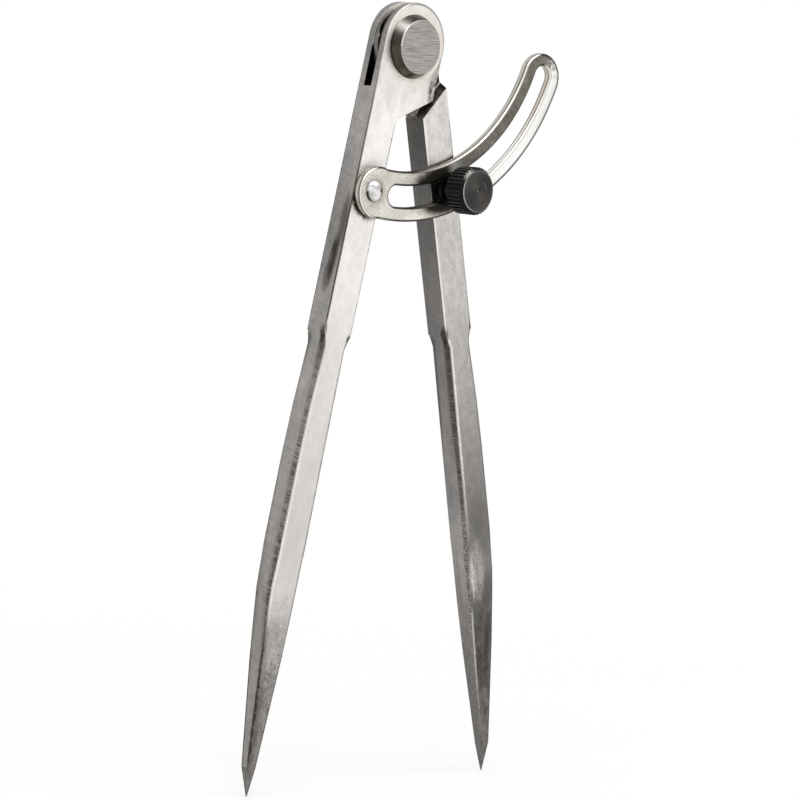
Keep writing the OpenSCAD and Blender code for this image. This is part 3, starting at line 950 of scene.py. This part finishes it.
def new_tree(name, values):
    """A tree that takes a shape and one named input for each value."""
    tree = bpy.data.node_groups.new(name, "GeometryNodeTree")
    keys = {}
    for label, way, kind in (("Result", "OUTPUT", "NodeSocketGeometry"),
                             ("Shape", "INPUT", "NodeSocketGeometry"),
                             *((size, "INPUT", KINDS[type(v)]) for size, v in values.items())):
        socket = tree.interface.new_socket(label, in_out=way, socket_type=kind)
        keys[label] = socket.identifier
    return tree, keys


def grow(name, rule, values, start_mesh, extra=None):
    """Lets a rule draw with the values, starting from a mesh, and gives back a plain mesh."""
    tree, keys = new_tree(rule.__name__, values)
    bench = Bench(tree)
    given = bench.node("NodeGroupInput").socket.node
    size = {socket.name: Wire(bench, socket) for socket in given.outputs if socket.name}
    whole = bench.node("GeometryNodeRealizeInstances", Geometry=rule(bench, size))
    painted = bench.node("GeometryNodeSetMaterial", Geometry=whole, Material=size["Finish"])
    bench.node("NodeGroupOutput", Result=painted)
    seed_piece = new_mesh_object("growing", start_mesh)
    modifier = seed_piece.modifiers.new("rule", "NODES")
    modifier.node_group = tree
    for label, value in values.items():
        modifier[keys[label]] = value
    if extra:
        extra(seed_piece)
    bpy.context.view_layer.update()
    seen = seed_piece.evaluated_get(bpy.context.evaluated_depsgraph_get())
    made = bpy.data.meshes.new_from_object(seen)
    made.name = name
    bpy.data.objects.remove(seed_piece)
    print(rule.__name__, "has", len(tree.nodes), "nodes")
    return made


print("rules can take", len(KINDS), "kinds of input")

# %% Rule of the wing
def slotted_wing(bench, size):
    ring, half, eye = size["Arc Radius"], size["Band Half"], size["Eye Radius"]
    slot, far, near = size["Slot Half"], size["Far Angle"], size["Slot Angle"]
    slot_far = size["Slot Far Angle"]

    def arc(radius, start, sweep, points, centre_angle=None):
        curve = bench.node("GeometryNodeCurveArc", {"mode": "RADIUS"}, Resolution=points,
                           Radius=radius, Start_Angle=start, Sweep_Angle=sweep)
        if centre_angle is None:
            return curve
        centre = place_of(ring * centre_angle.do("COSINE"), ring * centre_angle.do("SINE"), 0)
        return bench.node("GeometryNodeTransform", Geometry=curve, Translation=centre)

    def leave_angle(radius):
        """How far past the eye's middle a band edge leaves the eye, seen from the arc's centre."""
        return ((radius * radius + ring * ring - eye * eye) / (2 * radius * ring)).do("ARCCOSINE")

    def seen_from_eye(radius, turn):
        return (radius * turn.do("SINE")).do("ARCTAN2", radius * turn.do("COSINE") - ring)

    eye_at = size["Eye Angle"]
    edges = [(ring + half, leave_angle(ring + half)), (ring - half, leave_angle(ring - half))]
    outline = [arc(radius, eye_at + turn, far - eye_at - turn, 120) for radius, turn in edges]
    outer_view, inner_view = (seen_from_eye(radius, turn) for radius, turn in edges)
    outline.append(arc(half, far, pi, 60, far))
    outline.append(arc(eye, eye_at + inner_view, outer_view - inner_view + tau, 72, eye_at))
    outline += [arc(ring + slot, near, slot_far - near, 110),
                arc(ring - slot, near, slot_far - near, 110),
                arc(slot, slot_far, pi, 40, slot_far), arc(slot, near, -pi, 40, near)]
    outline.append(arc(size["Pin Radius"], 0, tau, 40, size["Pin Angle"]))

    def merged(shape):
        return bench.node("GeometryNodeMergeByDistance", Geometry=shape, Distance=WELD_GAP)

    wires = bench.node("GeometryNodeJoinGeometry", {}, {0: outline})
    drawn = merged(bench.node("GeometryNodeCurveToMesh", Curve=wires))
    loops = bench.node("GeometryNodeMeshToCurve", Mesh=drawn)
    blank = bench.node("GeometryNodeFillCurve", {"mode": "NGONS"}, Curve=loops)
    raised = bench.node("GeometryNodeExtrudeMesh", {"mode": "FACES"}, Mesh=blank,
                        Offset_Scale=size["Thickness"], Individual=False)
    under = bench.node("GeometryNodeFlipFaces", Mesh=blank)
    plate = merged(bench.node("GeometryNodeJoinGeometry", {}, {0: [raised, under]}))
    lifted = bench.node("GeometryNodeTransform", Geometry=plate,
                        Translation=place_of(0, 0, size["Back"]))
    return bench.node("GeometryNodeTransform", Geometry=lifted, Rotation=(pi / 2, 0, 0),
                      Translation=(ARC_CENTRE[0] * MM, 0, ARC_CENTRE[1] * MM))


print("rule of the wing defined")

# %% [markdown]
# The wing's nickel is warm and bright, but it is worn and oily near the rivet,
# with a painted shadow at the rivet's lower left, and round the screw it carries
# a painted reflection and shade of the black knob. The arm nearer the head is a
# dull olive. The rolled edges and walls are painted lit on the left and dark
# elsewhere, and a painted dark line and painted shade follow the outer arm's
# border. The finish measures the arc's radius and angle, because these colours
# follow the band.

# %% Walls of the wing
def nickel_walls(radius, degrees, front, past_screw, lit):
    """Stamped walls have a painted shadow line at the back and a dark line at the front, and are
    painted dark on their unlit side.
    """
    slot_side = past_screw * fade(radius, ARC_RADIUS, ARC_RADIUS + 0.8)
    slot_wall = mix_colour(fade(degrees, 55, 76), (1, 0.985, 0.95), (0.58, 0.52, 0.465))
    light = mix_colour(slot_side, (0.48, 0.465, 0.41), slot_wall)
    shadow = mix_colour(past_screw, (0.04, 0.035, 0.028), (0.22, 0.2, 0.18))
    lit_wall = mix_colour(fade(front - 0.25 * slot_side, 3.65, 4), shadow, light)
    lit_wall.lay((0.85 - 0.2 * slot_side) * fade(front, 4.6, 4.8), (0.13, 0.12, 0.1))
    return mix_colour(lit, (0.06, 0.052, 0.042), lit_wall)


print("walls of the wing defined")

# %% Nickel finish
SCREW_TURN = math.degrees(atan2(SCREW[1] - ARC_CENTRE[1], SCREW[0] - ARC_CENTRE[0]) - pin_angle)


def wing_nickel():
    bench = new_finish("worn_nickel")
    where = side, _, front = side_rise_front(bench, ARC_CENTRE)
    radius = radius_from(bench, ARC_CENTRE)
    degrees = turn_about(bench, ARC_CENTRE) - math.degrees(pin_angle)
    clouds, mottle = noise(where, 0.24, 4, 0.6), noise(where, 0.9, 3, 0.6)
    specks = noise(where, 2.6, 4, 0.7)
    rolling = noise((radius, degrees, front), (2.2, 0.12, 1), 3, 0.6)
    lit, roll, wall = mask(bench, "lit_side"), mask(bench, "rolled_edge"), mask(bench, "wall")
    past_screw, at_end = fade(degrees, 24, 40), fade(degrees, 80.5, 81.5)

    # the flat face: warm near the eye, olive on the inner arm, white on the outer arm
    past_olive = vary(radius - ARC_RADIUS, (1.6, clouds), (1.4, mottle))
    round_end = vary(turn_about(bench, FAR_END), (60, mottle), (40, specks))
    inner_arm = past_screw * ((1 - at_end) * fall(past_olive, -1.2, 2.6)
                              + at_end * fade(round_end, -5, 85))
    warm = mix_colour(clouds, (0.58, 0.552, 0.49), (0.8, 0.768, 0.7))
    white = mix_colour(clouds, (0.96, 0.953, 0.92), (1, 0.995, 0.975))
    olive = mix_colour(0.6 * mottle + 0.4 * clouds, (0.095, 0.088, 0.074), (0.245, 0.231, 0.2))
    warm.shade(1 + 0.22 * fade(degrees, 5, 14))
    face = mix_colour(past_screw, warm, white)
    face.lay(inner_arm, olive)
    from_pin, over_axis = radius_from(bench, PIN), radius - ARC_RADIUS
    past_axis = (degrees - SCREW_TURN) * (ARC_RADIUS * radians(1))
    outer_half = fade(over_axis, -1, 1)
    reach, spread = past_axis / (13.4 - 2.8 * outer_half), over_axis / (6.6 - 0.8 * outer_half)
    from_screw = (reach * reach + spread * spread).do("SQRT")
    oily = fall(vary(from_pin, (1.4, specks)), 2.6, 4.6) * (0.35 + 0.65 * clouds)
    # a dark ring round the rivet, deepest at the lower left as a painted shadow
    ring = (fall(from_pin, 2.75, 3.1)
            * (0.25 + 0.6 * near_turn(turn_about(bench, PIN), -160, 15, 70)))
    # painted reflection and shade of the black knob round the screw
    shaded = (fall(vary(from_screw, (0.08, clouds)), 0.86, 1.2)
              * (1 - 0.85 * (1 - outer_half) * fade(past_axis, -0.5, 3.5)))
    near_knob = fall(from_screw, 1, 1.5)
    face.lay(oily * 0.4, (0.11, 0.09, 0.065))
    face.lay(ring, (0.05, 0.042, 0.034))
    face.lay(shaded * 0.97, (0.024, 0.019, 0.014))
    grit = (0.42 - 0.3 * shaded) * (1 - 0.8 * past_screw * (1 - inner_arm))
    face.shade(vary(1, (grit, specks), (0.1, rolling)))
    from_far = radius_from(bench, FAR_END)
    # a painted dark line where the outer arm's edge rounds away
    rim = (fade(radius, ARC_RADIUS + 5.1, ARC_RADIUS + 5.6) * (1 - at_end)
           + fade(from_far, 5.1, 5.6) * at_end
           * fade(side + ARC_CENTRE[0] - FAR_END[0], -3, 1.5))
    # painted shade along the far end's outer border
    far_edge_shade = fade(radius, ARC_RADIUS + 2.8, ARC_RADIUS + 6) * near_turn(degrees, 78, 4, 15)
    face.lay(far_edge_shade * 0.22, (0.24, 0.228, 0.19))
    face.lay(rim * past_screw * 0.8, (0.08, 0.07, 0.056))

    # rolled edges and walls, painted lit on the left and dark elsewhere, with painted shade round
    # the screw
    side_wall = nickel_walls(radius, degrees, front, past_screw, lit)
    edge = mix_colour(lit, (0.03, 0.026, 0.02), (0.82, 0.8, 0.73))
    colour = mix_colour(roll, face, edge)
    colour.lay(wall, shade_by(side_wall, 0.85 + 0.3 * rolling))
    knob_shade = (roll + wall) * fall(from_screw, 0.6, 0.8)
    colour.lay(knob_shade * 0.95, (0.016, 0.013, 0.01))
    roughness = vary(0.26, (0.12, clouds), (0.1, mottle)) + 0.12 * oily + 0.3 * near_knob
    return finish_metal(colour, roughness, (rolling + specks) * (0.5 - 0.48 * near_knob), 0.012)


nickel = wing_nickel()
print("finish:", nickel.name)

# %% Grow the wing
def round_wing_edges(piece):
    bevel = piece.modifiers.new("stamped_edges", "BEVEL")
    bevel.width, bevel.segments = 0.55 * MM, 4
    bevel.limit_method, bevel.angle_limit = "ANGLE", radians(50)
    bevel.use_clamp_overlap = False
    weighted = piece.modifiers.new("flat_faces", "WEIGHTED_NORMAL")
    weighted.keep_sharp = True


def wing_marks(face):
    """The rolled edges and walls, and the sides painted as lit."""
    forward, flat = -face.normal.y, hypot(face.normal.x, face.normal.z)
    lit = ramp_between(-face.normal.x / flat, 0.05, 0.4) if flat > 1e-4 else 0
    return {"rolled_edge": 1 if 0.5 <= forward < 0.95 else
            0.85 - 0.3 * lit if 0.95 <= forward < 0.995 else 0,
            "wall": abs(forward) < 0.5, "lit_side": lit * (0.35 if forward >= 0.95 else 1)}


wing_values = {
    "Arc Radius": ARC_RADIUS * MM, "Band Half": WING_WIDTH / 2 * MM, "Slot Half": 2.6 * MM,
    "Eye Radius": 6.4 * MM, "Pin Radius": 1.65 * MM, "Pin Angle": pin_angle,
    "Eye Angle": past_pin(EYE_TURN), "Slot Angle": past_pin(9),
    "Slot Far Angle": past_pin(81.6), "Far Angle": past_pin(FAR_TURN),
    "Back": WING_BACK * MM, "Thickness": (WING_FRONT - WING_BACK) * MM, "Finish": nickel}
wing_mesh = grow("wing_plate", slotted_wing, wing_values, bpy.data.meshes.new("wing_seed"),
                 round_wing_edges)
mark_faces(wing_mesh, wing_marks)
place_piece(wing_mesh, nickel, "wing", "wing")

# %% [markdown]
# ## The wing's rivet
# A small domed rivet of bright steel holds the wing's eye. Its dome is an arc
# of a circle through the rim and the crown, spun like the other turned pieces,
# with grey smears over it and a dark line round its rim that deepens at the
# lower left as a painted shadow.

# %% Dome rivet
DOME_BASE, DOME_RADIUS, DOME_HEIGHT = 5.66, 2.65, 1.3


def dome_profile(steps=14):
    ball = (DOME_RADIUS ** 2 + DOME_HEIGHT ** 2) / (2 * DOME_HEIGHT)
    rim_angle = asin(DOME_RADIUS / ball)
    top = DOME_BASE + DOME_HEIGHT
    arc = [(ball * sin(rim_angle * (1 - k / steps)),
            top - ball + ball * cos(rim_angle * (1 - k / steps))) for k in range(steps + 1)]
    shank = rounded([(0, -3.2), (2.8, -3.2), (1.6, -2), (1.6, DOME_BASE),
                     (DOME_RADIUS - 0.05, DOME_BASE)], 0.12)
    return shank + arc[:-1] + [(0, top)]


def dome_steel():
    bench = new_finish("wing_rivet_steel")
    where = side_rise_front(bench)
    smear = noise(where, (0.3, 0.6, 0.3), 1)
    hammer = noise(where, 0.9, 2)
    radius = radius_from(bench, PIN)
    colour = mix_colour(smear, grey(0.5, 0.02), grey(1, 0.01))
    # a dark line round the rim, deepest at the lower left as a painted shadow
    rim = fade(radius, 2.2, 2.5) * (0.35 + 0.65 * near_turn(turn_about(bench, PIN), -160, 20, 75))
    colour.lay(rim, (0.055, 0.048, 0.04))
    return finish_metal(colour, 0.18 + 0.15 * smear, hammer, 0.015)


place_piece(turned("wing_rivet_turned", dome_profile(), PIN, FEWER_STEPS),
            dome_steel(), "fork", "wing_rivet")

# %% [markdown]
# ## Black oxide
# Washer and thumb screw are blackened steel. Black oxide is a thin satin skin:
# it rubs through to grey on the corners that fingers and the lathe touch, more on
# the left as a painted highlight, and the turned face keeps fine rings that catch
# the light, with a painted sheen across them. The chamfer has a painted highlight
# at the upper left, the knurls are painted darker in their grooves and towards the
# collar as shade, and the centre mark has a painted highlight.

# %% Black finish and washer
SHEEN_TURN = 128                     # degrees round the screw: where the painted sheen on the turned face is brightest
NO_FACE = 20                         # a front that the piece never reaches
WASHER_HOLE, WASHER_R, WASHER_BACK, WASHER_FRONT = 1.75, 4.1, 5.66, 6.56


def black_oxide(name, rub_radius, rub_front, face_front, rub_amount, metallic=0.7):
    bench = new_finish(name)
    where = side, rise, front = side_rise_front(bench, SCREW)
    radius, turn = radius_from(bench, SCREW), turn_about(bench, SCREW)
    clouds = noise(where, 0.35, 4)
    specks = noise(where, 2.2, 3, 0.6)
    rings = noise((radius, front, 0), 4, 2, 0.6)
    on_face = fade(front, face_front - 0.16, face_front - 0.12)
    off_rim = radius - rub_radius
    off_front = front - rub_front
    rub = fall(off_rim * off_rim + off_front * off_front, 0.003, 0.03)
    past_left = (rise * -1).do("ARCTAN2", side * -1) * math.degrees(1)
    # worn corners, brighter on the left as a painted highlight
    rubbed = rub * (0.15 + 0.85 * near_turn(past_left, 15, 20, 85)) * rub_amount
    dark = mix_colour(clouds, grey(0.007, 0.08), grey(0.016, 0.08))
    # a painted sheen across the turned face
    sweep = ((turn - SHEEN_TURN) * (2 * radians(1))).do("COSINE")
    turned_face = mix_colour(rings, grey(0.03, 0.09), grey(0.052, 0.09))
    turned_face.shade(1 + 0.35 * sweep)
    # painted shade towards the collar and in the grooves between the ribs
    dark.shade(0.3 + 0.7 * fade(front, rub_front - 5.4, rub_front - 4))
    dark.shade(0.2 + 1.3 * fade(radius, 5.7, 5.88))
    colour = mix_colour(on_face, dark, turned_face)
    # a painted highlight on the chamfer at the upper left
    chamfer_highlight = fade(front, face_front - 0.95, face_front - 0.75) * (1 - on_face)
    chamfer_highlight = chamfer_highlight * near_turn(turn, SHEEN_TURN, 4, 26) * (0.2 + 0.8 * specks)
    colour.lay(chamfer_highlight, grey(0.42))
    # a painted highlight in the centre mark, and a pale crescent on the face
    dimple = fall(radius, 0.2, 0.42) * fade(front, face_front - 0.6, face_front - 0.5)
    crescent = on_face * near_turn(radius, 2.7, 0.1, 0.5) * near_turn(turn, 30, 10, 40)
    colour.lay(0.9 * dimple + 0.25 * crescent, grey(0.17))
    colour.lay(rubbed * (0.5 + 0.5 * specks), grey(0.62, 0.02))
    roughness = vary(0.42, (0.12, clouds), (0.08, specks)) - 0.08 * on_face
    height = 0.4 * specks + rings * on_face
    return finish_metal(colour, roughness, height, 0.012, metallic)


def washer_profile():
    loop = [(WASHER_HOLE, WASHER_BACK), (WASHER_R, WASHER_BACK),
            (WASHER_R, WASHER_FRONT), (WASHER_HOLE, WASHER_FRONT)]
    return rounded(loop[-1:] + loop + loop[:1], 0.14)[1:-1]


place_piece(turned("clamp_washer_turned", washer_profile(), SCREW, FEWER_STEPS, True),
            black_oxide("washer_black", WASHER_R, WASHER_FRONT, NO_FACE, 0.05, 0.95),
            "washer", "clamp_washer")

# %% [markdown]
# ## The thumb screw
# The screw is one turned piece: stem, collar and knob. Its straight knurls are
# ribs between milled grooves. One rib is drawn, and Geometry Nodes repeats it
# round the axis; the stem's thread is a ridge swept along a spiral.

# %% Screw body
COLLAR_R, COLLAR_FRONT = 3.6, 9.56
KNOB_R, KNOB_FRONT, KNOB_CHAMFER = 5.95, 15.46, 0.9
RIB_HEIGHT, RIB_COUNT = 0.35, 36
STEM_CORE, STEM_CREST, PITCH = 1.42, 1.68, 0.6
screw_black = black_oxide("screw_black", KNOB_R - KNOB_CHAMFER, KNOB_FRONT, KNOB_FRONT, 0.9)


def knob_face_profile():
    """The turned face: a shallow dish, three faint steps and the centre mark."""
    rim = KNOB_R - KNOB_CHAMFER
    return [(rim, KNOB_FRONT), (3.9, KNOB_FRONT - 0.02), (3.86, KNOB_FRONT - 0.05),
            (2.2, KNOB_FRONT - 0.06), (2.16, KNOB_FRONT - 0.09), (0.45, KNOB_FRONT - 0.1),
            (0, KNOB_FRONT - 0.42)]


groove_r, rib_front = KNOB_R - RIB_HEIGHT, KNOB_FRONT - KNOB_CHAMFER + RIB_HEIGHT
screw_profile = rounded([(0, -2.8), (1.1, -2.8), (STEM_CORE, -2.45), (STEM_CORE, WASHER_FRONT),
                         (COLLAR_R, WASHER_FRONT), (COLLAR_R, COLLAR_FRONT),
                         (groove_r - 0.25, COLLAR_FRONT), (groove_r, COLLAR_FRONT + 0.25),
                         (groove_r, rib_front)], 0.1)
screw_profile += rounded([(groove_r, rib_front)] + knob_face_profile(), 0.06, 3)[1:]
screw_body = turned("thumb_screw_turned", screw_profile, SCREW)
place_piece(screw_body, screw_black, "screw", "thumb_screw")


# %% Knurl ribs
def rib_mesh():
    """One crowned rib on the X side of an axis along Y, with sloped ends."""
    section = [(-0.3, groove_r - 0.08), (-0.25, groove_r + 0.22), (-0.13, KNOB_R - 0.01),
               (0.13, KNOB_R - 0.01), (0.25, groove_r + 0.22), (0.3, groove_r - 0.08)]
    shape = bmesh.new()
    ends = []
    for back in (True, False):
        ring = []
        for wide, out in section:
            proud = out - groove_r
            front = COLLAR_FRONT + 0.05 + max(proud, 0) if back else rib_front - max(proud, 0)
            ring.append(shape.verts.new((out * MM, -front * MM, wide * MM)))
        ends.append(ring)
    for k in range(len(section)):
        following = (k + 1) % len(section)
        shape.faces.new((ends[0][k], ends[0][following], ends[1][following], ends[1][k]))
    for ring in ends:
        shape.faces.new(ring)
    bmesh.ops.recalc_face_normals(shape, faces=shape.faces)
    return smooth_shaded(shape, "one_rib", 20)


def straight_knurl(bench, size):
    points = bench.node("GeometryNodePoints", Count=size["Ribs"])
    index = bench.node("GeometryNodeInputIndex")
    turn = bench.node("FunctionNodeEulerToRotation", {},
                      {0: place_of(0, index * tau / size["Ribs"], 0)})
    return bench.node("GeometryNodeInstanceOnPoints", Points=points, Instance=size["Shape"],
                      Rotation=turn)


knurl_mesh = grow("thumb_screw_knurl", straight_knurl, {"Ribs": RIB_COUNT, "Finish": screw_black},
                  rib_mesh())
knurl_mesh.transform(Matrix.Translation((SCREW[0] * MM, 0, SCREW[1] * MM)))
place_piece(knurl_mesh, screw_black, "screw", None)


# %% Stem thread
def screw_thread(bench, size):
    turns = size["Length"] / size["Pitch"]
    path = bench.node("GeometryNodeCurveSpiral", Resolution=28, Rotations=turns,
                      Start_Radius=size["Radius"], End_Radius=size["Radius"],
                      Height=size["Length"])
    level = bench.node("GeometryNodeSetCurveNormal", {"mode": "Z_UP"}, Curve=path)
    vee = bench.node("GeometryNodeCurvePrimitiveCircle", {"mode": "RADIUS"}, Resolution=4,
                     Radius=size["Ridge"])
    ridge = bench.node("GeometryNodeCurveToMesh", Curve=level, Profile_Curve=vee, Fill_Caps=True)
    return bench.node("GeometryNodeTransform", Geometry=ridge, Rotation=(pi / 2, 0, 0))


THREAD_BACK, THREAD_FRONT = -2.3, 6.2
thread_mesh = grow("thumb_screw_thread", screw_thread,
                   {"Pitch": PITCH * MM, "Length": (THREAD_FRONT - THREAD_BACK) * MM,
                    "Radius": STEM_CORE * MM, "Ridge": (STEM_CREST - STEM_CORE) * MM,
                    "Finish": screw_black}, bpy.data.meshes.new("thread_seed"))
thread_mesh.transform(Matrix.Translation((SCREW[0] * MM, -THREAD_BACK * MM, SCREW[1] * MM)))
place_piece(thread_mesh, screw_black, "screw", None)
